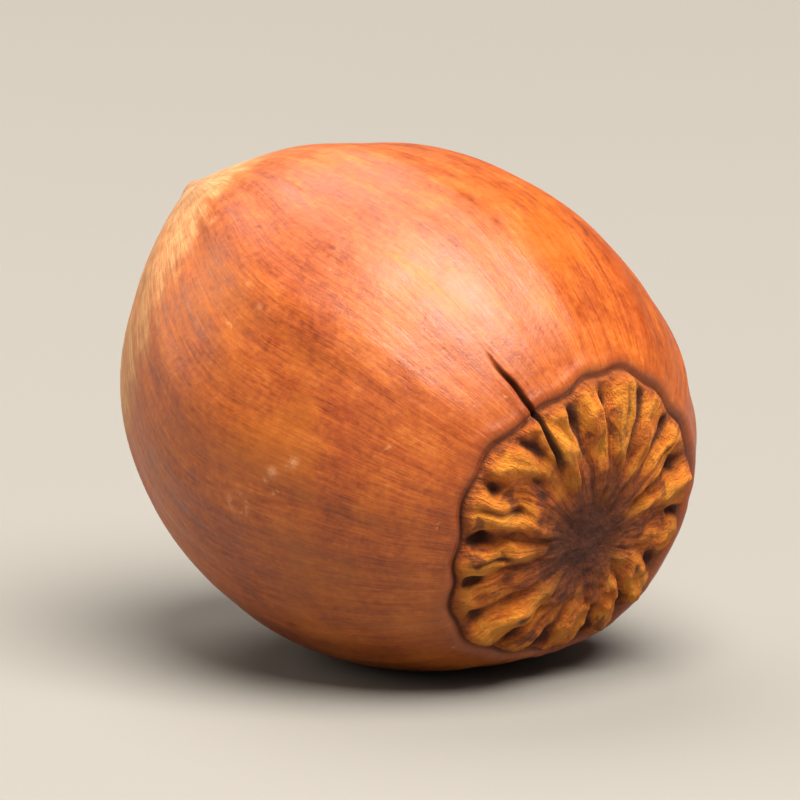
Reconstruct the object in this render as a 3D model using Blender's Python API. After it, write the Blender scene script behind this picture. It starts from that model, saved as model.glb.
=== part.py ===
"""A hazelnut in its shell, lying on its side, as one closed surface in metres with +Z up.

The nut's own axes are side (toward the front), top and apex. Its tip points along the apex axis, up and
to -X, and its scar faces the other way, down and to +X. Lengths here are in millimetres, angles in degrees.
"""
import math

import bmesh
import bpy
import numpy as np

NAME = "hazelnut"
MM = 0.001

# How the nut lies: its base end is lower than its tip.
LEAN = 22.0

# Body
RADIUS = 9.12
OVAL = 0.027
OVAL_AT = 29.3
APEX_HEIGHT = 10.46
BASE_HEIGHT = 10.77
BASE_FLAT = 9.09
UNDER_FLAT = 8.88
UNDER_SLOPE = (0.114, 0.028)
BLEND = 14.0
LEAST_FACING = 0.05

# Tip
TIP_HEIGHT = 1.28
TIP_WIDTH = 13.6
TIP_POWER = 1.4
NUB_HEIGHT = 0.22
NUB_WIDTH = 2.6

# Middles of the tip, of the scar and of the scar's heart, off the apex axis, as tangents (side, top)
TIP_AT = (-0.005, 0.220)
SCAR_AT = (0.118, 0.081)
HEART_AT = (0.050, -0.020)

# Lengthwise ribs: height, number round the nut and where the first one is
RIBS = ((0.018, 5, 20.0), (0.034, 9, 11.0), (0.032, 14, 4.0), (0.024, 23, 9.0))
RIB_BEAT = 0.30
RIB_WANDER = 1.6
RIB_WANDER_RATE = 2.3
RIB_WEAVE = 1.1
RIB_WEAVE_RATE = 5.0
RIB_FADE = 14.0
RIB_END = 176.0
RIB_END_FADE = 30.0
KEEL_HEIGHT = 0.07
KEEL_WIDTH = 3.2
KEEL_AT = (128.0, 309.0)
SWELL = 0.05
SWELL_AT = -10.0

# Scar
SCAR_ANGLE = 32.9
SCAR_WAVE = 1.1
SCAR_WAVES = 5
SCAR_WAVE_AT = -8.0
LOBES = 16
LOBE_AT = 11.2
LOBE_JITTER = ((1.56, 3.0, 40.0), (1.09, 7.0, 10.0))
LOBE_BULGE = 0.45
LOBE_HEIGHT = 0.26
LOBE_FLOOR = 0.45
LOBE_SWIRL = 22.0
LOBE_SWIRL_AT = -40.0
LOBE_INNER_END = 0.36
LOBE_INNER_FADE = 0.3
LOBE_RIM_FADE = 0.10
LOBE_UNEVEN = 0.12
LOBE_RAGGED = 0.25
LOBE_LUMPY = 0.6
LOBE_VARIETY = 0.3
LOBE_VARIETY_WAVES = 5.0
LOBE_VARIETY_AT = -12.0
PIT_DEPTH = 0.34
PIT_RING = 0.865
PIT_REACH = 0.055
SECOND_PIT_DEPTH = 0.13
SECOND_PIT_RING = 0.66
SECOND_PIT_REACH = 0.06
RIM_GROOVE = 0.17
RIM_GROOVE_REACH = 0.022
RIM_LIP = 0.06
RIM_LIP_RING = 1.07
RIM_LIP_REACH = 0.045
HEART_DEPTH = 0.14
HEART_REACH = 0.46
HEART_FADE = 0.3
LUMP_HEIGHT = 0.055
LUMP_END = 0.92
LUMP_WAVES = ((17.0, 11.0, 0.4), (-11.0, 19.0, 2.1), (22.0, -7.0, 4.0), (5.0, 24.0, 1.2))

# Crack, from the scar's rim into the shell
CRACK_AT = 35.7
CRACK_END = 49.8
CRACK_HALF_WIDTH = 0.17
CRACK_DEPTH = 0.34
CRACK_LIP = 0.05
CRACK_LIP_AT = 2.2
CRACK_INNER_END = 18.1
CRACK_TAPER = 11.0
CRACK_INNER_TAPER = 5.0
CRACK_NARROWEST = 0.45
CRACK_WEAVE = 0.35
CRACK_WEAVE_RATE = 40.0

# Flat spot that it rests on
REST_DEPTH = 0.24
CUT_SNAP = 0.002

# Rings and columns of the surface
SCAR_RINGS = (0.05, 0.13, 0.21, 0.29, 0.37, 0.45, 0.53, 0.60, 0.66, 0.72, 0.77, 0.815, 0.865, 0.91, 0.945,
              0.975, 1.0)
COLLAR_RINGS = (1.02, 1.06, 1.13)
BODY_RINGS = 16
TIP_CENTRED = 140.0
TIP_RINGS = (141.0, 148.0, 154.0, 159.5, 164.5, 169.0, 172.5, 175.5, 178.0)
COLUMNS = 128
CRACK_COLUMNS = (-2.6, -1.3, -0.45, 0.45, 1.3, 2.6)
CRACK_CLEAR = 3.9


def clear_scene():
    for old in list(bpy.data.objects):
        bpy.data.objects.remove(old, do_unlink=True)


def unit(vector):
    return vector / np.linalg.norm(vector, axis=-1, keepdims=True)


def smooth_step(x):
    t = np.clip(x, 0.0, 1.0)
    return t * t * (3.0 - 2.0 * t)


def bell(x, reach):
    return np.exp(-(x / reach) ** 2)


def nut_axes():
    """Side, top and apex axes of the lying nut, as the rows of a matrix."""
    lean = math.radians(LEAN)
    side = (0.0, -1.0, 0.0)
    top = (math.sin(lean), 0.0, math.cos(lean))
    apex = (-math.cos(lean), 0.0, math.sin(lean))
    return np.array((side, top, apex))


def axis_from(tangent, end):
    """Direction whose side and top parts are the given tangents, toward the apex (1) or the base (-1)."""
    return unit(np.array((tangent[0], tangent[1], end)))


def soft_limit(radius, direction, normal, distance):
    """The radius held back, with a soft edge, by a plane at a distance from the centre."""
    facing = np.maximum(direction @ normal, LEAST_FACING)
    plane = distance / facing
    return (radius ** -BLEND + plane ** -BLEND) ** (-1.0 / BLEND)


def body_radius(direction):
    """Distance of the shell from the nut's centre, without ribs and scar."""
    turn = np.arctan2(direction[..., 1], direction[..., 0])
    across = np.hypot(direction[..., 0], direction[..., 1])
    along = direction[..., 2]
    waist = RADIUS * (1.0 + OVAL * np.cos(2.0 * (turn - math.radians(OVAL_AT))))
    height = np.where(along > 0.0, APEX_HEIGHT, BASE_HEIGHT)
    radius = 1.0 / np.sqrt((across / waist) ** 2 + (along / height) ** 2)
    radius = soft_limit(radius, direction, axis_from(SCAR_AT, -1.0), BASE_FLAT)
    under = nut_axes() @ unit(np.array((UNDER_SLOPE[0], UNDER_SLOPE[1], -1.0)))
    radius = soft_limit(radius, direction, under, UNDER_FLAT)
    return radius + tip_rise(direction)


def tip_rise(direction):
    """Extra height of the pointed tip and of the nub on it."""
    facing = np.clip(direction @ axis_from(TIP_AT, 1.0), -1.0, 1.0)
    away = np.degrees(np.arccos(facing))
    cone = TIP_HEIGHT * np.exp(-(away / TIP_WIDTH) ** TIP_POWER)
    return cone + NUB_HEIGHT * bell(away, NUB_WIDTH)


def centre_tangent(polar):
    """Where the rings of the surface are centred: scar's heart, then scar, then opposite the tip."""
    to_scar = smooth_step(polar / SCAR_ANGLE)[..., None]
    to_tip = smooth_step((polar - SCAR_ANGLE) / (TIP_CENTRED - SCAR_ANGLE))[..., None]
    inner = np.array(HEART_AT) * (1.0 - to_scar) + np.array(SCAR_AT) * to_scar
    return inner * (1.0 - to_tip) - np.array(TIP_AT) * to_tip


def directions(polar, around):
    """Unit vectors at an angle from the base and at an angle around it, measured from the top axis."""
    tangent = centre_tangent(polar)
    centre = unit(np.concatenate((tangent, -np.ones_like(tangent[..., :1])), axis=-1))
    top = np.zeros_like(centre)
    top[..., 1] = 1.0
    up = unit(top - centre * centre[..., 1:2])
    side = np.cross(centre, up)
    turn = np.radians(around)[..., None]
    tilt = np.radians(polar)[..., None]
    return np.cos(tilt) * centre + np.sin(tilt) * (np.cos(turn) * up + np.sin(turn) * side)


def lobe_phase(around):
    """Phase of the scar's lobes, which are not quite evenly spaced: 0 in the middle of a lobe."""
    first = around - LOBE_AT
    shift = sum(size * np.sin(np.radians(count * first + start)) for size, count, start in LOBE_JITTER)
    return np.radians(LOBES * (first + shift))


def scar_edge(around):
    """Polar angle of the scar's wavy, scalloped rim."""
    wave = SCAR_WAVE * np.cos(np.radians(SCAR_WAVES * (around - SCAR_WAVE_AT)))
    return SCAR_ANGLE + wave + LOBE_BULGE * np.cos(lobe_phase(around))


def scar_lumps(reach, around):
    """Irregular rough lumps of the scar, from -1 to 1."""
    x = reach * np.cos(np.radians(around))
    y = reach * np.sin(np.radians(around))
    waves = [np.sin(along * x + across * y + start) for along, across, start in LUMP_WAVES]
    return sum(waves) / len(waves)


def lobe_crest(reach, around):
    """How near a place of the scar is to the ridge line of a lobe, from 0 to 1; the lobes bend inward."""
    swirl = LOBE_SWIRL * (0.9 - reach) * np.sin(np.radians(around - LOBE_SWIRL_AT))
    return 0.5 + 0.5 * np.cos(lobe_phase(around + swirl))


def scar_relief(reach, around):
    """Height of the scar's lobes, pits and sunken heart; reach is 0 at its middle and 1 at its rim."""
    crest = lobe_crest(reach, around)
    unequal = 1.0 + LOBE_VARIETY * np.sin(np.radians(LOBE_VARIETY_WAVES * (around - LOBE_VARIETY_AT)))
    lumps = scar_lumps(reach, around)
    inner_end = LOBE_INNER_END + LOBE_UNEVEN * np.sin(np.radians(7.0 * around)) + LOBE_RAGGED * lumps
    band = smooth_step((reach - inner_end) / LOBE_INNER_FADE) * smooth_step((1.0 - reach) / LOBE_RIM_FADE)
    lobes = LOBE_HEIGHT * unequal * band * (crest - LOBE_FLOOR) * (1.0 + LOBE_LUMPY * lumps)
    pits = -PIT_DEPTH * unequal * bell(reach - PIT_RING, PIT_REACH) * (1.0 - crest) ** 2
    second = -SECOND_PIT_DEPTH * bell(reach - SECOND_PIT_RING, SECOND_PIT_REACH) * crest ** 3
    heart = -HEART_DEPTH * smooth_step((HEART_REACH - reach) / HEART_FADE)
    rough = LUMP_HEIGHT * lumps * smooth_step((LUMP_END - reach) / 0.2)
    inside = smooth_step((1.02 - reach) / 0.04)
    return inside * (lobes + pits + second + heart + rough)


def rim_relief(reach):
    """Groove at the rim of the scar and the lip of shell outside it."""
    groove = -RIM_GROOVE * bell(reach - 1.0, RIM_GROOVE_REACH)
    return groove + RIM_LIP * bell(reach - RIM_LIP_RING, RIM_LIP_REACH)


def turned(around, start):
    """Signed angle from a start, between -180 and 180."""
    return (around - start + 180.0) % 360.0 - 180.0


def shell_relief(polar, around):
    """Height of the lengthwise ribs and of the two keels where the halves of the shell meet."""
    fade = smooth_step((polar - SCAR_ANGLE) / RIB_FADE) * smooth_step((RIB_END - polar) / RIB_END_FADE)
    weave = RIB_WEAVE * np.sin(np.radians(RIB_WEAVE_RATE * polar + around))
    line = around + RIB_WANDER * np.sin(np.radians(RIB_WANDER_RATE * polar)) + weave
    ribs = sum(height * np.cos(np.radians(count * (line - first))) for height, count, first in RIBS)
    beat = 1.0 + RIB_BEAT * np.sin(np.radians(3.0 * polar + 2.0 * around))
    broad = np.cos(np.radians(3.0 * (around - SWELL_AT))) * np.sin(np.radians(2.0 * polar - 30.0))
    keels = sum(KEEL_HEIGHT * bell(turned(line, at), KEEL_WIDTH) for at in KEEL_AT)
    return fade * (ribs * beat + SWELL * broad + keels)


def crack_relief(polar, around, across):
    """Depth of the crack and its lip; across is the distance from the axis of the rings."""
    line = CRACK_AT + CRACK_WEAVE * np.sin(np.radians(CRACK_WEAVE_RATE * (polar - SCAR_ANGLE)))
    gap = np.radians(turned(around, line)) * across
    taper = smooth_step((CRACK_END - polar) / CRACK_TAPER)
    taper = taper * smooth_step((polar - CRACK_INNER_END) / CRACK_INNER_TAPER)
    half_width = CRACK_HALF_WIDTH * (CRACK_NARROWEST + (1.0 - CRACK_NARROWEST) * taper)
    groove = -CRACK_DEPTH * taper * np.clip(1.0 - np.abs(gap) / half_width, 0.0, 1.0)
    lip = CRACK_LIP * taper * bell(gap - CRACK_LIP_AT * half_width, half_width)
    return groove + lip


def surface_points(polar, around):
    """Points of the nut's surface, in its own axes."""
    direction = directions(polar, around)
    radius = body_radius(direction)
    reach = polar / scar_edge(around)
    across = radius * np.sin(np.radians(polar))
    relief = scar_relief(reach, around) + rim_relief(reach) + shell_relief(polar, around)
    relief = relief + crack_relief(polar, around, across)
    return direction * (radius + relief)[..., None]


def column_angles():
    """Angles of the columns round the nut, closer together at the crack."""
    even = np.arange(COLUMNS) * 360.0 / COLUMNS
    kept = even[np.abs(turned(even, CRACK_AT)) > CRACK_CLEAR]
    return np.sort(np.concatenate((kept, CRACK_AT + np.array(CRACK_COLUMNS))))


def ring_angles(around):
    """Polar angles of every ring at every column; the rings follow the rim of the scar."""
    edge = scar_edge(around)
    near = [edge * reach for reach in SCAR_RINGS + COLLAR_RINGS]
    start = edge * COLLAR_RINGS[-1]
    steps = (np.arange(BODY_RINGS) + 1.0) / (BODY_RINGS + 1.0)
    body = [start + (TIP_RINGS[0] - start) * step for step in steps]
    tip = [np.full_like(edge, angle) for angle in TIP_RINGS]
    return np.array(near + body + tip)


def grid_faces(rings, columns):
    """Faces between the rings, and the fans that close the two ends."""
    faces = []
    for ring in range(rings - 1):
        for column in range(columns):
            after = (column + 1) % columns
            low = ring * columns
            high = low + columns
            faces.append((low + column, high + column, high + after, low + after))
    base = rings * columns
    last = (rings - 1) * columns
    for column in range(columns):
        after = (column + 1) % columns
        faces.append((base, column, after))
        faces.append((base + 1, last + after, last + column))
    return faces


def nut_mesh():
    """The whole nut in metres, lying as it rests, before the flat spot is cut."""
    around = column_angles()
    polar = ring_angles(around)
    turns = np.broadcast_to(around, polar.shape)
    points = surface_points(polar, turns).reshape(-1, 3)
    ends = surface_points(np.array((0.0, 180.0)), np.array((0.0, 0.0)))
    points = np.concatenate((points, ends)) @ nut_axes() * MM
    mesh = bpy.data.meshes.new(NAME)
    mesh.from_pydata(points.tolist(), [], grid_faces(polar.shape[0], polar.shape[1]))
    return mesh


def cut_rest_spot(body):
    """Cut the underside flat and bring the middle of the flat spot to the origin."""
    level = min(vert.co.z for vert in body.verts) + REST_DEPTH * MM
    cut = bmesh.ops.bisect_plane(
        body,
        geom=body.verts[:] + body.edges[:] + body.faces[:],
        dist=CUT_SNAP * MM,
        plane_co=(0.0, 0.0, level),
        plane_no=(0.0, 0.0, -1.0),
        clear_outer=True,
    )
    edges = [item for item in cut["geom_cut"] if isinstance(item, bmesh.types.BMEdge)]
    spot = bmesh.ops.contextual_create(body, geom=edges)["faces"][0]
    for vert in spot.verts:
        vert.co.z = level
    centre = spot.calc_center_median_weighted()
    bmesh.ops.translate(body, verts=body.verts[:], vec=(-centre.x, -centre.y, -level))


def shell_material():
    """Satin reddish-brown shell."""
    material = bpy.data.materials.new("shell")
    material.use_nodes = True
    shader = material.node_tree.nodes["Principled BSDF"]
    shader.inputs["Base Color"].default_value = (0.42, 0.135, 0.035, 1.0)
    shader.inputs["Roughness"].default_value = 0.42
    shader.inputs["Metallic"].default_value = 0.0
    return material


def build():
    clear_scene()
    mesh = nut_mesh()
    body = bmesh.new()
    body.from_mesh(mesh)
    cut_rest_spot(body)
    bmesh.ops.recalc_face_normals(body, faces=body.faces[:])
    body.to_mesh(mesh)
    body.free()
    mesh.shade_smooth()
    mesh.materials.append(shell_material())
    bpy.context.scene.collection.objects.link(bpy.data.objects.new(NAME, mesh))


build()
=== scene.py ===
"""The look of a hazelnut in its shell, built over its CAD solid.

The nut's own axes are side (toward the front), top and apex. Its tip points along the apex axis, up and
to -X, and its scar faces the other way, down and to +X. A place on the nut is given by a polar angle, which
starts in the middle of the scar, and by an angle around, which starts at the top. Reach is the polar angle
as a share of the one at the scar's rim. Lengths are in millimetres and angles in degrees until the points
are placed in the frame. Colours are linear RGB.
"""
import math
from collections import namedtuple
from types import SimpleNamespace

import bpy
import numpy as np
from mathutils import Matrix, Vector


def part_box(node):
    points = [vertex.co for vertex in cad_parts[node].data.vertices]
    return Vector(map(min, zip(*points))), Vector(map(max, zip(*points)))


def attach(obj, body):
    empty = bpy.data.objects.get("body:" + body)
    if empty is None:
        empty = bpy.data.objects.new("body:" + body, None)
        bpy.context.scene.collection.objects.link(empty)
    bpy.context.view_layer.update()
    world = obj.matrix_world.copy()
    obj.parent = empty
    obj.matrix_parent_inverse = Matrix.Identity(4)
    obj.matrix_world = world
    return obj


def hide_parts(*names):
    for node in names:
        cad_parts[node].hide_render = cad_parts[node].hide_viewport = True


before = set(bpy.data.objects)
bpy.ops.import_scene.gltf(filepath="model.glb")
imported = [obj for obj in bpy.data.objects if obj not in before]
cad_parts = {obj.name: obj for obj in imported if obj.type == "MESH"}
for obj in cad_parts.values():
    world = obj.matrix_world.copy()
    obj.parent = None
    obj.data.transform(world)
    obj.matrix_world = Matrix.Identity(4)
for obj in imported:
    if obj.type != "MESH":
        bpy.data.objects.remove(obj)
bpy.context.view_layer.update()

NAME = "hazelnut_shell"
MM = 0.001

# How the nut lies: its base end is lower than its tip
LEAN = 22.0

# Body, flattened softly behind the scar and underneath
RADIUS = 9.12
OVAL = 0.027
OVAL_AT = 29.3
APEX_HEIGHT = 10.46
BASE_HEIGHT = 10.77
BASE_FLAT = 9.09
UNDER_FLAT = 8.88
UNDER_SLOPE = (0.114, 0.028)
BLEND = 14.0
LEAST_FACING = 0.05

# Tip, with a small nub on it
TIP_HEIGHT = 1.28
TIP_WIDTH = 13.6
TIP_POWER = 1.4
NUB_HEIGHT = 0.22
NUB_WIDTH = 2.6

# Middles of the tip, of the scar and of the scar's heart, off the apex axis, as tangents (side, top)
TIP_AT = (-0.005, 0.220)
SCAR_AT = (0.118, 0.081)
HEART_AT = (0.050, -0.020)
TIP_CENTRED = 140.0

# Lengthwise ribs: height, number round the nut and where the first one is
RIBS = ((0.018, 5, 20.0), (0.032, 9, 11.0), (0.023, 14, 4.0), (0.013, 23, 9.0))
RIB_BEAT = 0.30
RIB_BEAT_ALONG = 3.0
RIB_BEAT_ROUND = 2.0
RIB_WANDER = 1.6
RIB_WANDER_RATE = 2.3
RIB_WEAVE = 1.1
RIB_WEAVE_RATE = 5.0
RIB_FADE = 14.0
RIB_END = 176.0
RIB_END_FADE = 30.0

# Keels where the halves of the shell meet, and the body's broad swells
KEEL_HEIGHT = 0.07
KEEL_WIDTH = 3.2
KEEL_AT = (128.0, 309.0)
SWELL = 0.05
SWELLS = 3.0
SWELL_AT = -10.0
SWELL_RATE = 2.0
SWELL_START = 30.0

# Wavy rim of the scar; the scar's relief ends at it
SCAR_ANGLE = 32.9
SCAR_WAVE = 1.1
SCAR_WAVES = 5
SCAR_WAVE_AT = -8.0
INSIDE_END = 1.02
INSIDE_FADE = 0.04

# Lobes of the scar
LOBES = 16
LOBE_AT = 11.2
LOBE_JITTER = ((1.56, 3.0, 40.0), (1.09, 7.0, 10.0))
LOBE_BULGE = 0.45
LOBE_HEIGHT = 0.26
LOBE_FLOOR = 0.45
LOBE_FULLNESS = 2.5
LOBE_SWIRL = 22.0
LOBE_SWIRL_AT = -40.0
LOBE_SWIRL_END = 0.9
LOBE_INNER_END = 0.36
LOBE_INNER_FADE = 0.3
LOBE_RIM_FADE = 0.10
LOBE_UNEVEN = 0.12
LOBE_UNEVEN_WAVES = 7.0
LOBE_RAGGED = 0.25
LOBE_LUMPY = 0.6
LOBE_VARIETY = 0.3
LOBE_VARIETY_WAVES = 5.0
LOBE_VARIETY_AT = -12.0
WOBBLE_FADE = 0.12

# Pits in the gaps between the lobes, and smaller ones on some lobes
PIT_DEPTH = 0.34
PIT_RING = 0.865
PIT_REACH = 0.055
SECOND_PIT_DEPTH = 0.13
SECOND_PIT_REACH = 0.048
SECOND_PIT_SHARPNESS = 5

# Splits along the middle of some lobes, and grooves in the gaps
SPLIT_DEPTH = 0.09
SPLIT_HALF_WIDTH = 0.07
SPLIT_RING = 0.80
SPLIT_REACH = 0.13
GAP_DEPTH = 0.05
GAP_SHARPNESS = 8
GAP_START = 0.45
GAP_FADE = 0.2

# Groove at the scar's rim, and the lip of shell outside it with its wrinkles
RIM_GROOVE = 0.17
RIM_GROOVE_REACH = 0.022
RIM_LIP = 0.06
RIM_LIP_RING = 1.07
RIM_LIP_REACH = 0.045
WRINKLE_RING = 1.09
WRINKLE_REACH = 0.07

# Sunken heart of the scar, and its rough lumps: waves along and across, and where each starts
HEART_DEPTH = 0.14
HEART_REACH = 0.46
HEART_FADE = 0.3
LUMP_HEIGHT = 0.055
LUMP_END = 0.92
LUMP_FADE = 0.2
LUMP_WAVES = ((17.0, 11.0, 0.4), (-11.0, 19.0, 2.1), (22.0, -7.0, 4.0), (5.0, 24.0, 1.2))

# Crack, from the scar's lobes over its rim into the shell
CRACK_AT = 35.7
CRACK_END = 49.8
CRACK_HALF_WIDTH = 0.135
CRACK_DEPTH = 0.34
CRACK_LIP = 0.05
CRACK_LIP_AT = 2.2
CRACK_INNER_END = 18.1
CRACK_TAPER = 11.0
CRACK_INNER_TAPER = 5.0
CRACK_NARROWEST = 0.55
CRACK_WEAVE = 0.25
CRACK_WEAVE_RATE = 40.0

# Fine noise that follows the nut's lines: its height, its cells round the nut, its cells for each degree or
# reach along it, and its seed. The heights of wobbles are angles, and that of ragged edges is a reach.
Grain = namedtuple("Grain", "height cells rate seed")
STRIAE = Grain(0.010, 150, 1.0 / 16.0, 21)
STREAKS = Grain(0.016, 56, 1.0 / 30.0, 22)
DENTS = Grain(0.022, 24, 1.0 / 13.0, 24)
WRINKLES = Grain(0.022, 84, 9.0, 25)
FIBRES = Grain(0.045, 130, 6.0, 13)
RIDGES = Grain(1.0, 60, 3.5, 33)
WOBBLES = Grain(2.2, 36, 5.0, 31)
FINE_WOBBLES = Grain(1.0, 90, 12.0, 32)
RAGGED_EDGES = Grain(0.03, 140, 14.0, 34)
RIDGE_HEIGHT = 0.07
FIBRE_START = 0.2
FIBRE_FADE = 0.4

# Pores of the scar: share, cells over the scar's radius and seed of each size
PORE_HEIGHT = 0.035
PORES = ((1.0, 13.0, 11), (0.7, 29.0, 12))
PORE_SHIFT = 4.0
FINE_RIM_FADE = 0.05

# Ranges of the seeded differences between the lobes, and between the gaps that follow them
SCAR_SEED = 7
TALL = (0.72, 1.28)
STARTS = (-0.13, 0.15)
SPLITS = (0.0, 0.35, 1.0)
SPLIT_ODDS = (0.4, 0.3, 0.3)
PORE_RINGS = (0.56, 0.76)
PORE_SIZES = (0.0, 0.5, 1.0)
PORE_ODDS = (0.35, 0.3, 0.35)
PIT_RING_SHIFT = (-0.035, 0.03)
PIT_LENGTHS = (0.75, 1.6)
PIT_SHARPNESS = (3.0, 7.0)
PIT_DEPTHS = (0.55, 1.1)
GAP_DARKNESS = (0.25, 1.0)

# How the scar's parts add up to the painted shade of its hollows and to the tone of its lobes
HOLLOW_SHADE_WEIGHTS = {"pit": 1.5, "second": 0.7, "split": 0.6, "groove": 0.8}
BAND_TONE = 0.35
CREST_TONE = 0.30
TALL_TONE = 0.35
RIDGE_TONE = 0.25

# Dark lines of the rim and of the crack, the rim's line being painted shade in its groove, and the largest
# reach that the colours follow
RIM_LINE_REACH = 0.015
CRACK_LINE_WIDTH = 1.05
CRACK_LINE_FADE = 0.5
LARGEST_REACH = 2.0

# The pale down reaches this far from the tip, and the tip itself is greyer; further on one side the pale is
# painted rim light, a painted reflection along the nut's edge
DOWN_REACH = 24.0
RIM_LIGHT_SPREAD = 40.0
RIM_LIGHT_AT = 120.0
DOWN_FADE = 18.0
TIP_GREY_REACH = 21.0

# Scuffs on the shell: a ring as (around, polar, radius), and spots as (around, polar, radius, strength)
SCUFF_RING = (99.5, 81.5, 0.42)
SCUFF_LINE = 0.19
SCUFF_RING_STRENGTH = 0.50
SCUFF_SHAKE = 0.7
SCUFF_SPOTS = (
    (90.4, 76.4, 0.20, 0.7),
    (87.8, 75.4, 0.38, 0.9),
    (85.2, 72.4, 0.22, 0.7),
    (83.4, 71.3, 0.36, 0.8),
    (57.5, 137.5, 0.36, 0.7),
    (61.5, 103.0, 0.27, 0.4),
    (60.0, 110.5, 0.24, 0.4),
    (45.5, 95.0, 0.20, 0.4),
    (41.5, 98.5, 0.22, 0.4),
)

# Rings and columns of the surface; rings crowd at the scar's rim and at the tip, and columns at the crack
SCAR_ROWS = 88
COLLAR_ROWS = 14
BODY_ROWS = 84
TIP_ROWS = 24
FIRST_REACH = 0.012
SCAR_ROW_POWER = 1.15
COLLAR_END = 1.13
TIP_START = 150.0
TIP_SPAN = 29.6
TIP_ROW_POWER = 1.3
COLUMNS = 448
CRACK_CROWDING = 3.0
CRACK_CROWD_REACH = 4.0
CROWD_STEPS = 7201

# Colours of the shell; the first ones with the tone that each stands for
SHELL_TONES = (
    (0.39, (0.120, 0.015, 0.002)),
    (0.46, (0.250, 0.043, 0.003)),
    (0.53, (0.370, 0.080, 0.006)),
    (0.61, (0.500, 0.145, 0.018)),
)
GOLDEN_COLOUR = (0.450, 0.128, 0.006)
REDDISH_COLOUR = (0.300, 0.044, 0.007)
COLLAR_COLOUR = (0.185, 0.032, 0.004)
FLECK_COLOUR = (0.120, 0.018, 0.004)
SPECK_COLOUR = (0.70, 0.36, 0.13)
SCUFF_COLOUR = (0.80, 0.42, 0.21)
# Pale of the down, also used for the painted rim light along one edge
DOWN_AND_RIM_LIGHT_COLOURS = ((0.400, 0.185, 0.062), (0.580, 0.325, 0.135))
TIP_COLOURS = ((0.235, 0.120, 0.054), (0.385, 0.232, 0.124))

# Colours of the scar and of the crack; the first ones with the tone that each stands for
SCAR_TONES = (
    (0.25, (0.070, 0.012, 0.002)),
    (0.38, (0.200, 0.036, 0.002)),
    (0.51, (0.390, 0.085, 0.003)),
    (0.65, (0.550, 0.142, 0.004)),
    (0.85, (0.640, 0.230, 0.012)),
)
# The heart's dark brown is partly its own colour and partly painted shade, as of a shadow falling into the
# sunken heart
HEART_AND_SHADE_COLOUR = (0.058, 0.008, 0.001)
STAIN_COLOUR = (0.120, 0.018, 0.002)
SCAR_EDGE_COLOUR = (0.230, 0.052, 0.003)
# Painted shade in the scar's pits, splits and grooves between the lobes
HOLLOW_SHADE_COLOUR = (0.060, 0.010, 0.002)
# Painted shade along the groove at the scar's rim
RIM_SHADE_COLOUR = (0.110, 0.018, 0.002)
CRACK_COLOUR = (0.045, 0.011, 0.003)

# Gloss, and depth in millimetres of the finest relief
DRY_ROUGHNESS = 0.88
SHELL_GLOSS = 0.52
GRAIN_DEPTH = 0.06
CORK_DEPTH = 0.26

# Floor, in metres: points of its level part, its bend up at the back, its top and its half width
FLOOR_LEVEL = (-1.2, -0.2, 0.5)
FLOOR_BEND = 0.5
FLOOR_BEND_STEPS = 24
FLOOR_TOP = 1.6
FLOOR_HALF_WIDTH = 1.6
FLOOR_COLOURS = ((0.183, 0.185, 0.184), (0.202, 0.204, 0.203))
FLOOR_ROUGHNESS = 0.75

# Lights: name, direction from the nut, distance and size in metres, power in watts and colour
LIGHT_AIM = (0.0, 0.0, 0.009)
LIGHTS = (
    ("key", (0.37, -0.11, 0.91), 0.55, 0.52, 11.5, (1.0, 0.90, 0.77)),
    ("top", (-0.50, 0.28, 0.80), 0.58, 0.42, 2.4, (1.0, 0.90, 0.78)),
    ("left", (-0.93, -0.26, 0.38), 0.60, 0.40, 1.45, (1.0, 0.86, 0.66)),
    ("front", (0.05, -0.97, 0.35), 0.80, 0.60, 0.4, (1.0, 0.95, 0.90)),
)
ROOM_COLOUR = (0.80, 0.77, 0.72, 1.0)
ROOM_STRENGTH = 0.22

# Camera
VIEW_AZIMUTH = 39.2
VIEW_ELEVATION = 12.0
VIEW_DISTANCE = 0.50
VIEW_FILL = 0.74
SENSOR_WIDTH = 36.0


def unit(vector):
    return vector / np.linalg.norm(vector, axis=-1, keepdims=True)


def smooth_step(x):
    t = np.clip(x, 0.0, 1.0)
    return t * t * (3.0 - 2.0 * t)


def bell(x, reach):
    return np.exp(-(x / reach) ** 2)


def turned(around, start):
    """Signed angle from a start, between -180 and 180."""
    return (around - start + 180.0) % 360.0 - 180.0


def noise(x, y, seed, wrap=64):
    """Smooth noise from -1 to 1 that repeats along x after wrap cells."""
    table = np.random.RandomState(seed).rand(wrap, 64)
    x0 = np.floor(x).astype(int)
    y0 = np.floor(y).astype(int)
    fx = smooth_step(x - x0)
    fy = smooth_step(y - y0)
    near = table[x0 % wrap, y0 % 64] * (1.0 - fx) + table[(x0 + 1) % wrap, y0 % 64] * fx
    far = table[x0 % wrap, (y0 + 1) % 64] * (1.0 - fx) + table[(x0 + 1) % wrap, (y0 + 1) % 64] * fx
    return 2.0 * (near * (1.0 - fy) + far * fy) - 1.0


def grained(grain, around, along):
    """Noise round the nut and along it, as its grain says."""
    return grain.height * noise(around / 360.0 * grain.cells, grain.rate * along, grain.seed, grain.cells)


def nut_axes():
    """Side, top and apex axes of the lying nut, as the rows of a matrix."""
    lean = math.radians(LEAN)
    side = (0.0, -1.0, 0.0)
    top = (math.sin(lean), 0.0, math.cos(lean))
    apex = (-math.cos(lean), 0.0, math.sin(lean))
    return np.array((side, top, apex))


def axis_from(tangent, end):
    """Direction whose side and top parts are the given tangents, toward the apex (1) or the base (-1)."""
    return unit(np.array((tangent[0], tangent[1], end)))


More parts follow.
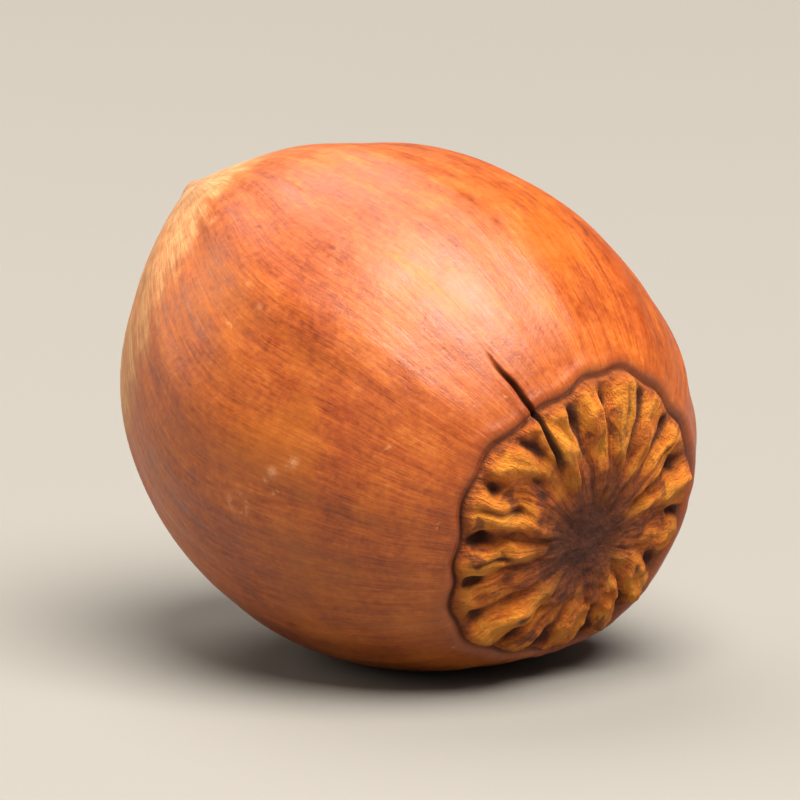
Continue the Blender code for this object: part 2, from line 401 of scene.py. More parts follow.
def soft_limit(radius, direction, normal, distance):
    """The radius held back, with a soft edge, by a plane at a distance from the centre."""
    facing = np.maximum(direction @ normal, LEAST_FACING)
    plane = distance / facing
    return (radius ** -BLEND + plane ** -BLEND) ** (-1.0 / BLEND)


def away_from_tip(direction):
    facing = np.clip(direction @ axis_from(TIP_AT, 1.0), -1.0, 1.0)
    return np.degrees(np.arccos(facing))


def body_radius(direction):
    """Distance of the shell from the nut's centre, without ribs and scar."""
    turn = np.arctan2(direction[..., 1], direction[..., 0])
    across = np.hypot(direction[..., 0], direction[..., 1])
    along = direction[..., 2]
    waist = RADIUS * (1.0 + OVAL * np.cos(2.0 * (turn - math.radians(OVAL_AT))))
    height = np.where(along > 0.0, APEX_HEIGHT, BASE_HEIGHT)
    radius = 1.0 / np.sqrt((across / waist) ** 2 + (along / height) ** 2)
    radius = soft_limit(radius, direction, axis_from(SCAR_AT, -1.0), BASE_FLAT)
    under = nut_axes() @ unit(np.array((UNDER_SLOPE[0], UNDER_SLOPE[1], -1.0)))
    radius = soft_limit(radius, direction, under, UNDER_FLAT)
    away = away_from_tip(direction)
    tip = TIP_HEIGHT * np.exp(-(away / TIP_WIDTH) ** TIP_POWER)
    return radius + tip + NUB_HEIGHT * bell(away, NUB_WIDTH)


def directions(polar, around):
    """Unit vectors at the given angles; the rings centre on the heart, then on the scar, then on the tip."""
    to_scar = smooth_step(polar / SCAR_ANGLE)[..., None]
    to_tip = smooth_step((polar - SCAR_ANGLE) / (TIP_CENTRED - SCAR_ANGLE))[..., None]
    inner = np.array(HEART_AT) * (1.0 - to_scar) + np.array(SCAR_AT) * to_scar
    tangent = inner * (1.0 - to_tip) - np.array(TIP_AT) * to_tip
    centre = unit(np.concatenate((tangent, -np.ones_like(tangent[..., :1])), axis=-1))
    top = np.zeros_like(centre)
    top[..., 1] = 1.0
    up = unit(top - centre * centre[..., 1:2])
    side = np.cross(centre, up)
    turn = np.radians(around)[..., None]
    tilt = np.radians(polar)[..., None]
    return np.cos(tilt) * centre + np.sin(tilt) * (np.cos(turn) * up + np.sin(turn) * side)


def lobe_phase(around):
    """Phase of the scar's lobes, which are not quite evenly spaced: 0 in the middle of a lobe."""
    first = around - LOBE_AT
    shift = sum(size * np.sin(np.radians(count * first + start)) for size, count, start in LOBE_JITTER)
    return np.radians(LOBES * (first + shift))


def scar_edge(around):
    """Polar angle of the scar's wavy, scalloped rim."""
    wave = SCAR_WAVE * np.cos(np.radians(SCAR_WAVES * (around - SCAR_WAVE_AT)))
    return SCAR_ANGLE + wave + LOBE_BULGE * np.cos(lobe_phase(around))


def scar_lumps(reach, around):
    """Irregular rough lumps of the scar, from -1 to 1."""
    x = reach * np.cos(np.radians(around))
    y = reach * np.sin(np.radians(around))
    waves = [np.sin(along * x + across * y + start) for along, across, start in LUMP_WAVES]
    return sum(waves) / len(waves)


def scar_tables():
    """Seeded differences between the lobes and between the gaps, drawn in a fixed order."""
    draw = np.random.RandomState(SCAR_SEED)
    lobes = {
        "tall": draw.uniform(*TALL, LOBES),
        "starts": draw.uniform(*STARTS, LOBES),
        "split": draw.choice(SPLITS, LOBES, p=SPLIT_ODDS),
        "pore_ring": draw.uniform(*PORE_RINGS, LOBES),
        "pore": draw.choice(PORE_SIZES, LOBES, p=PORE_ODDS),
    }
    gaps = {
        "ring": PIT_RING + draw.uniform(*PIT_RING_SHIFT, LOBES),
        "long": PIT_REACH * draw.uniform(*PIT_LENGTHS, LOBES),
        "sharp": draw.uniform(*PIT_SHARPNESS, LOBES),
        "deep": draw.uniform(*PIT_DEPTHS, LOBES),
        "dark": draw.uniform(*GAP_DARKNESS, LOBES),
    }
    return lobes, gaps


LOBE_TABLE, GAP_TABLE = scar_tables()


def scar_parts(reach, around):
    """Lines, crests, band, pits and grooves of the scar, which its relief and its colours share."""
    swirl = LOBE_SWIRL * (LOBE_SWIRL_END - reach) * np.sin(np.radians(around - LOBE_SWIRL_AT))
    wobble = grained(WOBBLES, around, reach) + grained(FINE_WOBBLES, around, reach)
    bent = around + swirl + wobble * smooth_step((1.0 - reach) / WOBBLE_FADE)
    turns = lobe_phase(bent) / (2.0 * math.pi)
    lobe = np.round(turns).astype(int) % LOBES
    gap = np.floor(turns).astype(int) % LOBES
    wave = 0.5 + 0.5 * np.cos(2.0 * math.pi * turns)
    crest = 1.0 - (1.0 - wave) ** LOBE_FULLNESS
    lumps = scar_lumps(reach, around)
    uneven = LOBE_UNEVEN * np.sin(np.radians(LOBE_UNEVEN_WAVES * around))
    inner_end = LOBE_INNER_END + uneven + LOBE_RAGGED * lumps
    outer = smooth_step((1.0 - reach) / LOBE_RIM_FADE)
    own_band = smooth_step((reach - inner_end - LOBE_TABLE["starts"][lobe]) / LOBE_INNER_FADE) * outer
    off_pit = reach - GAP_TABLE["ring"][gap] + grained(RAGGED_EDGES, bent, reach)
    pit = GAP_TABLE["deep"][gap] * bell(off_pit, GAP_TABLE["long"][gap])
    second = LOBE_TABLE["pore"][lobe] * bell(reach - LOBE_TABLE["pore_ring"][lobe], SECOND_PIT_REACH)
    split = LOBE_TABLE["split"][lobe] * bell(np.abs(turns - np.round(turns)), SPLIT_HALF_WIDTH)
    groove = GAP_TABLE["dark"][gap] * (1.0 - wave) ** GAP_SHARPNESS
    return {
        "bent": bent,
        "ridge": grained(RIDGES, bent, reach),
        "crest": crest * own_band,
        "tall": LOBE_TABLE["tall"][lobe],
        "band": smooth_step((reach - inner_end) / LOBE_INNER_FADE) * outer,
        "pit": pit * (1.0 - wave) ** GAP_TABLE["sharp"][gap],
        "second": second * wave ** SECOND_PIT_SHARPNESS,
        "split": split * bell(reach - SPLIT_RING, SPLIT_REACH),
        "groove": groove * smooth_step((reach - GAP_START) / GAP_FADE) * outer,
        "lumps": lumps,
        "inside": smooth_step((INSIDE_END - reach) / INSIDE_FADE),
    }


def scar_relief(reach, around):
    """Height of the scar over the body."""
    part = scar_parts(reach, around)
    unequal = 1.0 + LOBE_VARIETY * np.sin(np.radians(LOBE_VARIETY_WAVES * (around - LOBE_VARIETY_AT)))
    rise = part["tall"] * part["crest"] * (1.0 + LOBE_LUMPY * part["lumps"])
    lobes = LOBE_HEIGHT * unequal * (rise - LOBE_FLOOR * part["band"])
    pits = -PIT_DEPTH * unequal * part["pit"] - SECOND_PIT_DEPTH * part["second"]
    cuts = -SPLIT_DEPTH * part["split"] - GAP_DEPTH * part["groove"]
    heart = -HEART_DEPTH * smooth_step((HEART_REACH - reach) / HEART_FADE)
    rough = LUMP_HEIGHT * part["lumps"] * smooth_step((LUMP_END - reach) / LUMP_FADE)
    x = reach * np.cos(np.radians(around)) + PORE_SHIFT
    y = reach * np.sin(np.radians(around)) + PORE_SHIFT
    pores = PORE_HEIGHT * sum(share * noise(cells * x, cells * y, seed) for share, cells, seed in PORES)
    fibres = grained(FIBRES, part["bent"], reach) + RIDGE_HEIGHT * part["ridge"]
    fibres = fibres * smooth_step((reach - FIBRE_START) / FIBRE_FADE)
    fine = (pores + fibres) * smooth_step((1.0 - reach) / FINE_RIM_FADE)
    return part["inside"] * (lobes + pits + cuts + heart + rough + fine)


def rim_relief(reach, around):
    """Groove at the rim of the scar, the lip of shell outside it and the lip's fine wrinkles."""
    groove = -RIM_GROOVE * bell(reach - 1.0, RIM_GROOVE_REACH)
    wrinkles = grained(WRINKLES, around, reach) * bell(reach - WRINKLE_RING, WRINKLE_REACH)
    return groove + RIM_LIP * bell(reach - RIM_LIP_RING, RIM_LIP_REACH) + wrinkles


def rib_line(polar, around):
    """Angle round the nut, followed along the slightly wandering ribs."""
    weave = RIB_WEAVE * np.sin(np.radians(RIB_WEAVE_RATE * polar + around))
    return around + RIB_WANDER * np.sin(np.radians(RIB_WANDER_RATE * polar)) + weave


def shell_relief(polar, around):
    """Height of the ribs, swells and keels of the shell, and of its striae, streaks and dents."""
    fade = smooth_step((polar - SCAR_ANGLE) / RIB_FADE) * smooth_step((RIB_END - polar) / RIB_END_FADE)
    line = rib_line(polar, around)
    ribs = sum(height * np.cos(np.radians(count * (line - first))) for height, count, first in RIBS)
    beat = 1.0 + RIB_BEAT * np.sin(np.radians(RIB_BEAT_ALONG * polar + RIB_BEAT_ROUND * around))
    swell = np.cos(np.radians(SWELLS * (around - SWELL_AT)))
    swell = SWELL * swell * np.sin(np.radians(SWELL_RATE * polar - SWELL_START))
    keels = sum(KEEL_HEIGHT * bell(turned(line, at), KEEL_WIDTH) for at in KEEL_AT)
    fine = sum(grained(grain, line, polar) for grain in (STRIAE, STREAKS, DENTS))
    return fade * (ribs * beat + swell + keels + fine)


def crack_parts(polar, around, across):
    """Signed distance from the crack's line, its half width and how open it is."""
    line = CRACK_AT + CRACK_WEAVE * np.sin(np.radians(CRACK_WEAVE_RATE * (polar - SCAR_ANGLE)))
    gap = np.radians(turned(around, line)) * across
    taper = smooth_step((CRACK_END - polar) / CRACK_TAPER)
    taper = taper * smooth_step((polar - CRACK_INNER_END) / CRACK_INNER_TAPER)
    half_width = CRACK_HALF_WIDTH * (CRACK_NARROWEST + (1.0 - CRACK_NARROWEST) * taper)
    return gap, half_width, taper


def crack_relief(polar, around, across):
    """Depth of the crack and its lip; across is the distance from the axis of the rings."""
    gap, half_width, taper = crack_parts(polar, around, across)
    groove = -CRACK_DEPTH * taper * np.clip(1.0 - np.abs(gap) / half_width, 0.0, 1.0)
    lip = CRACK_LIP * taper * bell(gap - CRACK_LIP_AT * half_width, half_width)
    return groove + lip


def surface(polar, around):
    """Points of the nut's surface in its own axes, and what its colours follow at each."""
    direction = directions(polar, around)
    radius = body_radius(direction)
    reach = polar / scar_edge(around)
    across = radius * np.sin(np.radians(polar))
    relief = scar_relief(reach, around) + rim_relief(reach, around) + shell_relief(polar, around)
    relief = relief + crack_relief(polar, around, across)
    points = direction * (radius + relief)[..., None]
    return points, colour_guides(direction, polar, around, reach, across)


def colour_guides(direction, polar, around, reach, across):
    """Values that the material reads: where the surface is scar, lobe, painted shade of the hollows, rim
    line of painted shade, crack, tip or down with its painted rim light.
    """
    part = scar_parts(reach, around)
    gap, half_width, taper = crack_parts(polar, around, across)
    inside = part["inside"]
    # Painted shade in the pits, splits and grooves between the lobes
    hollow_shade = sum(weight * part[name] for name, weight in HOLLOW_SHADE_WEIGHTS.items())
    crest = part["crest"] * (CREST_TONE + TALL_TONE * part["tall"])
    off_crack = 1.0 - np.abs(gap) / (CRACK_LINE_WIDTH * half_width)
    away = away_from_tip(direction)
    # The down reaches further toward one side; the pale there is painted rim light, a painted reflection
    # along the nut's edge
    rim_light_side = (0.5 + 0.5 * np.cos(np.radians(around - RIM_LIGHT_AT))) ** 2
    down_and_rim_light_edge = DOWN_REACH + RIM_LIGHT_SPREAD * rim_light_side
    line = np.radians(rib_line(polar, around))
    turn = np.radians(part["bent"])
    return {
        "scar": inside,
        "lobe": inside * (BAND_TONE * part["band"] + crest + RIDGE_TONE * part["ridge"]),
        "hollow_shade": np.clip(inside * hollow_shade, 0.0, 1.0),
        # A thin line at the scar's rim, for painted shade in the rim's groove
        "rim": bell(reach - 1.0, RIM_LINE_REACH),
        "crack": taper ** 0.5 * smooth_step(off_crack / CRACK_LINE_FADE),
        "tip": np.exp(-(away / TIP_GREY_REACH) ** 2),
        # Mask of the down and of the painted rim light on one side
        "down": smooth_step((down_and_rim_light_edge - away) / DOWN_FADE),
        "reach": np.minimum(reach, LARGEST_REACH),
        "grain": np.stack((np.cos(line), np.sin(line), np.radians(polar)), axis=-1),
        "fibre": np.stack((np.cos(turn), np.sin(turn), reach), axis=-1),
    }


def column_angles():
    """Angles of the columns round the nut, closer together at the crack."""
    even = np.linspace(0.0, 360.0, CROWD_STEPS)
    crowd = 1.0 + CRACK_CROWDING * bell(turned(even, CRACK_AT), CRACK_CROWD_REACH)
    total = np.concatenate(((0.0,), np.cumsum(0.5 * (crowd[1:] + crowd[:-1]))))
    return np.interp(np.arange(COLUMNS) / COLUMNS * total[-1], total, even)


def ring_angles(around):
    """Polar angles of every ring at every column; the rings follow the rim of the scar."""
    edge = scar_edge(around)
    inner = 1.0 - (1.0 - np.linspace(FIRST_REACH, 1.0, SCAR_ROWS)) ** SCAR_ROW_POWER
    collar = np.linspace(1.0, COLLAR_END, COLLAR_ROWS + 1)[1:]
    near = [edge * reach for reach in np.concatenate((inner, collar))]
    start = near[-1]
    body = [start + (TIP_START - start) * step for step in np.linspace(0.0, 1.0, BODY_ROWS + 1)[1:]]
    steps = 1.0 - (1.0 - np.linspace(0.0, 1.0, TIP_ROWS + 1)[1:]) ** TIP_ROW_POWER
    tip = [np.full_like(edge, TIP_START + TIP_SPAN * step) for step in steps]
    return np.array(near + body + tip)


def grid_faces(rings, columns):
    """Faces between the rings, and the fans that close the two ends."""
    ring, column = np.meshgrid(np.arange(rings - 1), np.arange(columns), indexing="ij")
    after = (column + 1) % columns
    low = ring * columns
    high = low + columns
    quads = np.stack((low + column, high + column, high + after, low + after), axis=-1).reshape(-1, 4)
    base = rings * columns
    last = (rings - 1) * columns
    ends = []
    for column in range(columns):
        after = (column + 1) % columns
        ends.append((base, column, after))
        ends.append((base + 1, last + after, last + column))
    return quads.tolist() + ends


def placing(points):
    """Size and shift that lay the nut's points in the CAD node's box, and the level that it rests on."""
    world = points @ nut_axes() * MM
    low, high = (np.array(corner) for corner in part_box("hazelnut"))
    size = (high[0] - low[0]) / np.ptp(world[:, 0])
    world = world * size
    shift = 0.5 * (high + low) - 0.5 * (world.max(axis=0) + world.min(axis=0))
    shift[2] = high[2] - world[:, 2].max()
    return size, shift, low[2]


def placed(points, size, shift, level):
    """The nut's points in the frame, cut off level where it rests."""
    world = points @ nut_axes() * MM * size + shift
    world[:, 2] = np.maximum(world[:, 2], level)
    return world


def nut_object():
    """The nut's mesh with the guides of its colours as attributes, and how its points were placed."""
    around = column_angles()
    polar = ring_angles(around)
    turns = np.broadcast_to(around, polar.shape)
    points, guides = surface(polar, turns)
    end_points, end_guides = surface(np.array((0.0, 180.0)), np.array((0.0, 0.0)))
    points = np.concatenate((points.reshape(-1, 3), end_points))
    fit = placing(points)
    points = placed(points, *fit)
    mesh = bpy.data.meshes.new(NAME)
    mesh.from_pydata(points.tolist(), [], grid_faces(polar.shape[0], polar.shape[1]))
    for name, values in guides.items():
        wide = values.ndim == 3
        flat = values.reshape(-1, 3) if wide else values.reshape(-1)
        flat = np.concatenate((flat, end_guides[name]))
        layer = mesh.attributes.new(name, "FLOAT_VECTOR" if wide else "FLOAT", "POINT")
        layer.data.foreach_set("vector" if wide else "value", flat.astype(np.float32).ravel())
    mesh.shade_smooth()
    nut = bpy.data.objects.new(NAME, mesh)
    bpy.context.scene.collection.objects.link(nut)
    return nut, fit


class Nodes:
    """Short calls for building a node material."""

    def __init__(self, name):
        self.material = bpy.data.materials.new(name)
        self.material.use_nodes = True
        self.tree = self.material.node_tree
        self.shader = self.tree.nodes["Principled BSDF"]
        self.where = self.tree.nodes.new("ShaderNodeTexCoord").outputs["Object"]

    def link(self, value, socket):
        if isinstance(value, bpy.types.NodeSocket):
            self.tree.links.new(value, socket)
        elif isinstance(value, tuple) and len(value) == 3 and socket.type == "RGBA":
            socket.default_value = (*value, 1.0)
        else:
            socket.default_value = value

    def attribute(self, name, output="Fac"):
        node = self.tree.nodes.new("ShaderNodeAttribute")
        node.attribute_name = name
        return node.outputs[output]

    def math(self, kind, first, second=0.0):
        node = self.tree.nodes.new("ShaderNodeMath")
        node.operation = kind
        self.link(first, node.inputs[0])
        self.link(second, node.inputs[1])
        return node.outputs[0]

    def product(self, first, second):
        return self.math("MULTIPLY", first, second)

    def total(self, *parts):
        """Sum of values, each times its weight."""
        result = 0.0
        for value, weight in parts:
            result = self.math("ADD", result, self.product(value, weight))
        return result

    def distance(self, vector, point):
        node = self.tree.nodes.new("ShaderNodeVectorMath")
        node.operation = "DISTANCE"
        self.link(vector, node.inputs[0])
        node.inputs[1].default_value = point
        return node.outputs["Value"]

    def range(self, value, low, high, start=0.0, end=1.0):
        """A smooth step from start, where the value is low, to end, where it is high."""
        node = self.tree.nodes.new("ShaderNodeMapRange")
        node.interpolation_type = "SMOOTHSTEP"
        self.link(value, node.inputs["Value"])
        node.inputs["From Min"].default_value = low
        node.inputs["From Max"].default_value = high
        node.inputs["To Min"].default_value = start
        node.inputs["To Max"].default_value = end
        return node.outputs["Result"]

    def noise(self, scale, detail, roughness, distortion=0.0, vector=None):
        """Noise over the object's own coordinates, unless another vector is given."""
        node = self.tree.nodes.new("ShaderNodeTexNoise")
        self.link(vector or self.where, node.inputs["Vector"])
        node.inputs["Scale"].default_value = scale
        node.inputs["Detail"].default_value = detail
        node.inputs["Roughness"].default_value = roughness
        node.inputs["Distortion"].default_value = distortion
        return node.outputs["Fac"]

    def lines(self, guide, across, along, detail, roughness, distortion=0.0):
        """Noise that is drawn out along a guide, with its scales across the lines and along them."""
        node = self.tree.nodes.new("ShaderNodeVectorMath")
        node.operation = "MULTIPLY"
        self.link(guide, node.inputs[0])
        node.inputs[1].default_value = (across, across, along)
        return self.noise(1.0, detail, roughness, distortion, node.outputs[0])

    def mix(self, factor, first, second):
        node = self.tree.nodes.new("ShaderNodeMix")
        node.data_type = "RGBA"
        self.link(factor, node.inputs["Factor"])
        self.link(first, node.inputs["A"])
        self.link(second, node.inputs["B"])
        return node.outputs["Result"]

    def ramp(self, value, stops):
        node = self.tree.nodes.new("ShaderNodeValToRGB")
        self.link(value, node.inputs[0])
        elements = node.color_ramp.elements
        while len(elements) < len(stops):
            elements.new(0.5)
        for element, (position, colour) in zip(elements, stops):
            element.position = position
            element.color = (*colour, 1.0)
        return node.outputs["Color"]

    def bump(self, height, strength, distance, normal=None):
        node = self.tree.nodes.new("ShaderNodeBump")
        node.inputs["Strength"].default_value = strength
        node.inputs["Distance"].default_value = distance
        self.link(height, node.inputs["Height"])
        if normal is not None:
            self.link(normal, node.inputs["Normal"])
        return node.outputs["Normal"]


def shell_spot(around, polar, fit):
    """Place of a point of the shell in the frame."""
    points = surface(np.array((polar,)), np.array((around,)))[0]
    return tuple(float(part) for part in placed(points, *fit)[0])


def shared_textures(n):
    """Guides and textures that several parts of the nut's material use."""
    grain = n.attribute("grain", "Vector")
    return SimpleNamespace(
        grain=grain,
        scar=n.attribute("scar"),
        reach=n.attribute("reach"),
        streaks=n.lines(grain, 26.0, 1.6, 4.0, 0.6, 0.12),
        fine=n.lines(grain, 75.0, 6.0, 3.0, 0.6, 0.1),
        hair=n.lines(grain, 170.0, 14.0, 2.0, 0.6),
        small_patches=n.noise(620.0, 4.0, 0.6),
        mottle=n.noise(1100.0, 5.0, 0.66),
    )


def streaked_shell(n, shared):
    """Orange-brown with soft patches, wide and fine lengthwise streaks and mottling, darker by the scar."""
    tone = n.total(
        (n.lines(shared.grain, 2.6, 1.0, 3.0, 0.55, 0.2), 0.10),
        (n.lines(shared.grain, 9.0, 0.8, 3.0, 0.55, 0.12), 0.11),
        (shared.streaks, 0.14),
        (shared.fine, 0.16),
        (shared.hair, 0.13),
        (n.noise(230.0, 4.0, 0.6), 0.11),
        (shared.small_patches, 0.12),
        (shared.mottle, 0.15),
        (n.noise(4200.0, 3.0, 0.6), 0.15),
        (1.0, -0.085),
    )
    shell = n.ramp(tone, SHELL_TONES)
    golden = n.noise(170.0, 3.0, 0.6, 0.3)
    shell = n.mix(n.range(golden, 0.50, 0.68, 0.0, 0.40), shell, GOLDEN_COLOUR)
    shell = n.mix(n.range(golden, 0.48, 0.32, 0.0, 0.35), shell, REDDISH_COLOUR)
    return n.mix(n.range(shared.reach, 1.0, 1.18, 0.50, 0.0), shell, COLLAR_COLOUR)


def specks_and_flecks(n):
    """Masks of small pale specks and dark flecks, of uneven shape and in crowds."""
    grit = n.noise(1250.0, 6.0, 0.62, 0.5)
    crowd = n.noise(260.0, 2.0, 0.5)
    speck = n.product(n.range(grit, 0.655, 0.76), n.range(crowd, 0.44, 0.62))
    fleck = n.product(n.range(grit, 0.350, 0.26), n.range(crowd, 0.62, 0.42))
    return speck, fleck


def scuff_mask(n, fit):
    """Rubbed pale marks: a broken ring and a few small spots, soft at their edges."""
    ragged = n.noise(2300.0, 4.0, 0.65)
    shaken = n.product(n.math("SUBTRACT", ragged, 0.5), SCUFF_SHAKE * MM)
    around, polar, radius = SCUFF_RING
    away = n.math("ADD", n.distance(n.where, shell_spot(around, polar, fit)), shaken)
    off_ring = n.math("ABSOLUTE", n.math("SUBTRACT", away, radius * MM))
    mask = n.range(off_ring, 0.0, SCUFF_LINE * MM, SCUFF_RING_STRENGTH, 0.0)
    for around, polar, radius, strength in SCUFF_SPOTS:
        away = n.math("ADD", n.distance(n.where, shell_spot(around, polar, fit)), shaken)
        mask = n.math("MAXIMUM", mask, n.range(away, 0.0, radius * MM, strength, 0.0))
    return n.product(mask, n.range(ragged, 0.43, 0.60, 0.08, 1.0))


def downy(n, shared, shell):
    """Pale down that thins out from the tip in streaks, carried further on one side as painted rim light,
    and the greyer tip: the colour and both masks.
    """
    hairs = n.lines(shared.grain, 15.0, 2.2, 5.0, 0.68, 0.3)
    # The down mask also carries painted rim light along one edge
    streaky = n.total((n.attribute("down"), 0.90), (hairs, 0.90), (1.0, -0.45))
    down = n.product(n.range(streaky, 0.06, 0.86), n.range(hairs, 0.36, 0.62, 0.50, 1.0))
    fuzz = n.range(n.total((shared.fine, 0.6), (shared.hair, 0.6), (shared.mottle, 0.8)), 0.86, 1.14)
    shell = n.mix(n.product(down, 0.86), shell, n.mix(fuzz, *DOWN_AND_RIM_LIGHT_COLOURS))
    grey = n.product(n.attribute("tip"), n.range(hairs, 0.30, 0.60, 0.45, 1.0))
    grizzle = n.range(n.math("ADD", shared.mottle, shared.hair), 0.85, 1.15)
    shell = n.mix(n.product(grey, 0.92), shell, n.mix(grizzle, *TIP_COLOURS))
    return shell, down, grey


def scar_textures(n, reach):
    """Fibres, which turn into cork in the heart, and the cork and coarse patches of the scar."""
    fibres = n.lines(n.attribute("fibre", "Vector"), 21.0, 3.2, 5.0, 0.66, 0.35)
    cork = n.noise(1700.0, 6.0, 0.70)
    coarse = n.noise(560.0, 3.0, 0.6)
    to_cork = n.product(n.math("SUBTRACT", cork, fibres), n.range(reach, 0.42, 0.12))
    return n.total((fibres, 1.0), (to_cork, 1.0)), cork, coarse


def scar_colour(n, reach, fibres, cork, coarse):
    """Brown ground and ochre lobes, with a dark heart that is partly its own dark brown and partly painted
    shade, dark stains and a brown edge.
    """
    lobe = n.attribute("lobe")
    tone = n.total((lobe, 0.32), (fibres, 0.70), (cork, 0.68), (coarse, 0.35), (1.0, -0.415))
    colour = n.ramp(tone, SCAR_TONES)
    # Darker toward the heart: partly its own dark brown, partly painted shade
    heart = n.range(n.math("ADD", reach, n.product(fibres, -0.25)), 0.50, 0.04, 0.0, 0.86)
    colour = n.mix(heart, colour, HEART_AND_SHADE_COLOUR)
    blots = n.range(n.noise(950.0, 3.0, 0.55, 0.4), 0.555, 0.66)
    stains = n.product(blots, n.range(reach, 0.50, 0.74))
    colour = n.mix(n.product(stains, 0.80), colour, STAIN_COLOUR)
    edge = n.product(n.range(reach, 0.86, 1.0), n.range(coarse, 0.36, 0.60, 0.15, 0.75))
    return n.mix(edge, colour, SCAR_EDGE_COLOUR)


def dark_lines(n, coarse, colour):
    """The painted shade of the hollows and of the groove at the scar's rim, and the dark of the crack, over
    the rest.
    """
    # Pits, splits and grooves darkened with painted shade
    hollow_shade = n.range(n.attribute("hollow_shade"), 0.10, 0.85)
    colour = n.mix(n.product(hollow_shade, 0.90), colour, HOLLOW_SHADE_COLOUR)
    # The rim's dark line is painted shade in its groove
    rim = n.product(n.attribute("rim"), n.range(coarse, 0.38, 0.62, 0.12, 0.80))
    colour = n.mix(rim, colour, RIM_SHADE_COLOUR)
    return n.mix(n.product(n.attribute("crack"), 0.92), colour, CRACK_COLOUR)


def set_gloss(n, shared, down, grey, scuff):
    """Satin shell; the scar, the down, the tip and the scuffs are dry."""
    satin = n.total((shared.streaks, 0.28), (shared.mottle, 0.30), (shared.small_patches, 0.24), (1.0, 0.05))
    dry = n.math("MAXIMUM", shared.scar, n.product(down, 0.6))
    dry = n.math("MAXIMUM", dry, grey)
    dry = n.math("MAXIMUM", dry, n.product(scuff, 0.7))
    roughness = n.tree.nodes.new("ShaderNodeMix")
    n.link(dry, roughness.inputs[0])
    n.link(satin, roughness.inputs[2])
    roughness.inputs[3].default_value = DRY_ROUGHNESS
    n.link(roughness.outputs[0], n.shader.inputs["Roughness"])
    n.shader.inputs["Specular IOR Level"].default_value = SHELL_GLOSS


def nut_material(fit):
    """Satin orange-brown shell with lengthwise streaks, a pale downy tip whose pale runs on along one side
    as painted rim light, and a dry ochre scar with painted shade in its heart and hollows.
    """
    n = Nodes(NAME)
    shared = shared_textures(n)
    shell = streaked_shell(n, shared)
    speck, fleck = specks_and_flecks(n)
    shell = n.mix(n.product(fleck, 0.55), shell, FLECK_COLOUR)
    shell = n.mix(n.product(speck, 0.42), shell, SPECK_COLOUR)
    scuff = scuff_mask(n, fit)
    shell = n.mix(n.product(scuff, 0.66), shell, SCUFF_COLOUR)
    shell, down, grey = downy(n, shared, shell)
    fibres, cork, coarse = scar_textures(n, shared.reach)
    colour = n.mix(shared.scar, shell, scar_colour(n, shared.reach, fibres, cork, coarse))
    n.link(dark_lines(n, coarse, colour), n.shader.inputs["Base Color"])
    set_gloss(n, shared, down, grey, scuff)
    grain = n.total(
        (shared.streaks, 0.5),
        (shared.fine, 0.45),
        (shared.hair, 0.2),
        (shared.mottle, 0.7),
        (speck, 0.3),
        (fleck, -0.4),
        (scuff, 0.3),
    )
    rough = n.product(n.total((cork, 1.7), (fibres, 1.2), (coarse, 0.7)), shared.scar)
    normal = n.bump(grain, 0.34, GRAIN_DEPTH * MM)
    normal = n.bump(shared.mottle, 0.42, GRAIN_DEPTH * MM, normal)
    normal = n.bump(rough, 0.90, CORK_DEPTH * MM, normal)
    n.link(normal, n.shader.inputs["Normal"])
    return n.material


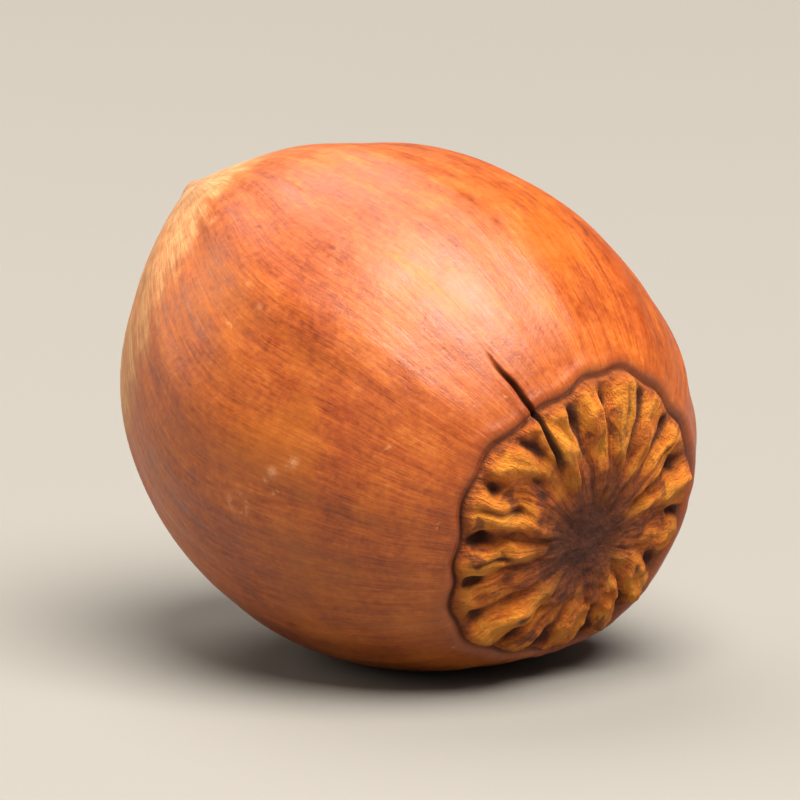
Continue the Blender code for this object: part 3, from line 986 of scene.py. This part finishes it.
def floor_object():
    """Pale floor that curves up behind, in one sheet."""
    mesh = bpy.data.meshes.new("floor")
    away = Vector((-math.sin(math.radians(VIEW_AZIMUTH)), math.cos(math.radians(VIEW_AZIMUTH)), 0.0))
    across = Vector((away.y, -away.x, 0.0))
    profile = [(run, 0.0) for run in FLOOR_LEVEL]
    bend_start = FLOOR_LEVEL[-1]
    for step in range(1, FLOOR_BEND_STEPS + 1):
        angle = math.radians(90.0 * step / FLOOR_BEND_STEPS)
        run = bend_start + FLOOR_BEND * math.sin(angle)
        profile.append((run, FLOOR_BEND - FLOOR_BEND * math.cos(angle)))
    profile.append((bend_start + FLOOR_BEND, FLOOR_TOP))
    points = []
    for run, rise in profile:
        for side in (-FLOOR_HALF_WIDTH, FLOOR_HALF_WIDTH):
            points.append(away * run + across * side + Vector((0.0, 0.0, rise)))
    faces = [(2 * i, 2 * i + 1, 2 * i + 3, 2 * i + 2) for i in range(len(profile) - 1)]
    mesh.from_pydata([tuple(point) for point in points], [], faces)
    mesh.shade_smooth()
    floor = bpy.data.objects.new("floor", mesh)
    bpy.context.scene.collection.objects.link(floor)
    n = Nodes("floor")
    n.link(n.mix(n.noise(9.0, 3.0, 0.5), *FLOOR_COLOURS), n.shader.inputs["Base Color"])
    n.shader.inputs["Roughness"].default_value = FLOOR_ROUGHNESS
    floor.data.materials.append(n.material)
    return floor


def area_light(name, direction, distance, size, power, colour):
    data = bpy.data.lights.new(name, "AREA")
    data.shape = "DISK"
    data.size = size
    data.energy = power
    data.color = colour
    light = bpy.data.objects.new(name, data)
    aim = Vector(LIGHT_AIM)
    light.location = aim + Vector(direction).normalized() * distance
    light.rotation_euler = (aim - light.location).to_track_quat("-Z", "Y").to_euler()
    bpy.context.scene.collection.objects.link(light)


def soft_light():
    """A broad soft light overhead, weak ones above the back and at the left and front, and a dim room."""
    for light in LIGHTS:
        area_light(*light)
    world = bpy.data.worlds.new("room")
    world.use_nodes = True
    background = world.node_tree.nodes["Background"]
    background.inputs["Color"].default_value = ROOM_COLOUR
    background.inputs["Strength"].default_value = ROOM_STRENGTH
    bpy.context.scene.world = world


def add_camera():
    """Camera at the photograph's angle, far off with a long lens, so that the nut fills the picture."""
    low, high = (Vector(corner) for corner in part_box("hazelnut"))
    middle = 0.5 * (low + high)
    azimuth = math.radians(VIEW_AZIMUTH)
    elevation = math.radians(VIEW_ELEVATION)
    back = Vector((
        math.sin(azimuth) * math.cos(elevation),
        -math.cos(azimuth) * math.cos(elevation),
        math.sin(elevation),
    ))
    data = bpy.data.cameras.new("camera")
    camera = bpy.data.objects.new("camera", data)
    camera.location = middle + back * VIEW_DISTANCE
    camera.rotation_euler = (-back).to_track_quat("-Z", "Y").to_euler()
    data.sensor_width = SENSOR_WIDTH
    width = (high.x - low.x) / VIEW_FILL
    data.lens = SENSOR_WIDTH * VIEW_DISTANCE / width
    data.clip_start = 0.01
    data.clip_end = 10.0
    bpy.context.scene.collection.objects.link(camera)
    bpy.context.scene.camera = camera


add_camera()
nut, nut_fit = nut_object()
nut.data.materials.append(nut_material(nut_fit))
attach(nut, "root")
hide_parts("hazelnut")
floor_object()
soft_light()
bpy.context.scene.view_settings.view_transform = "Standard"
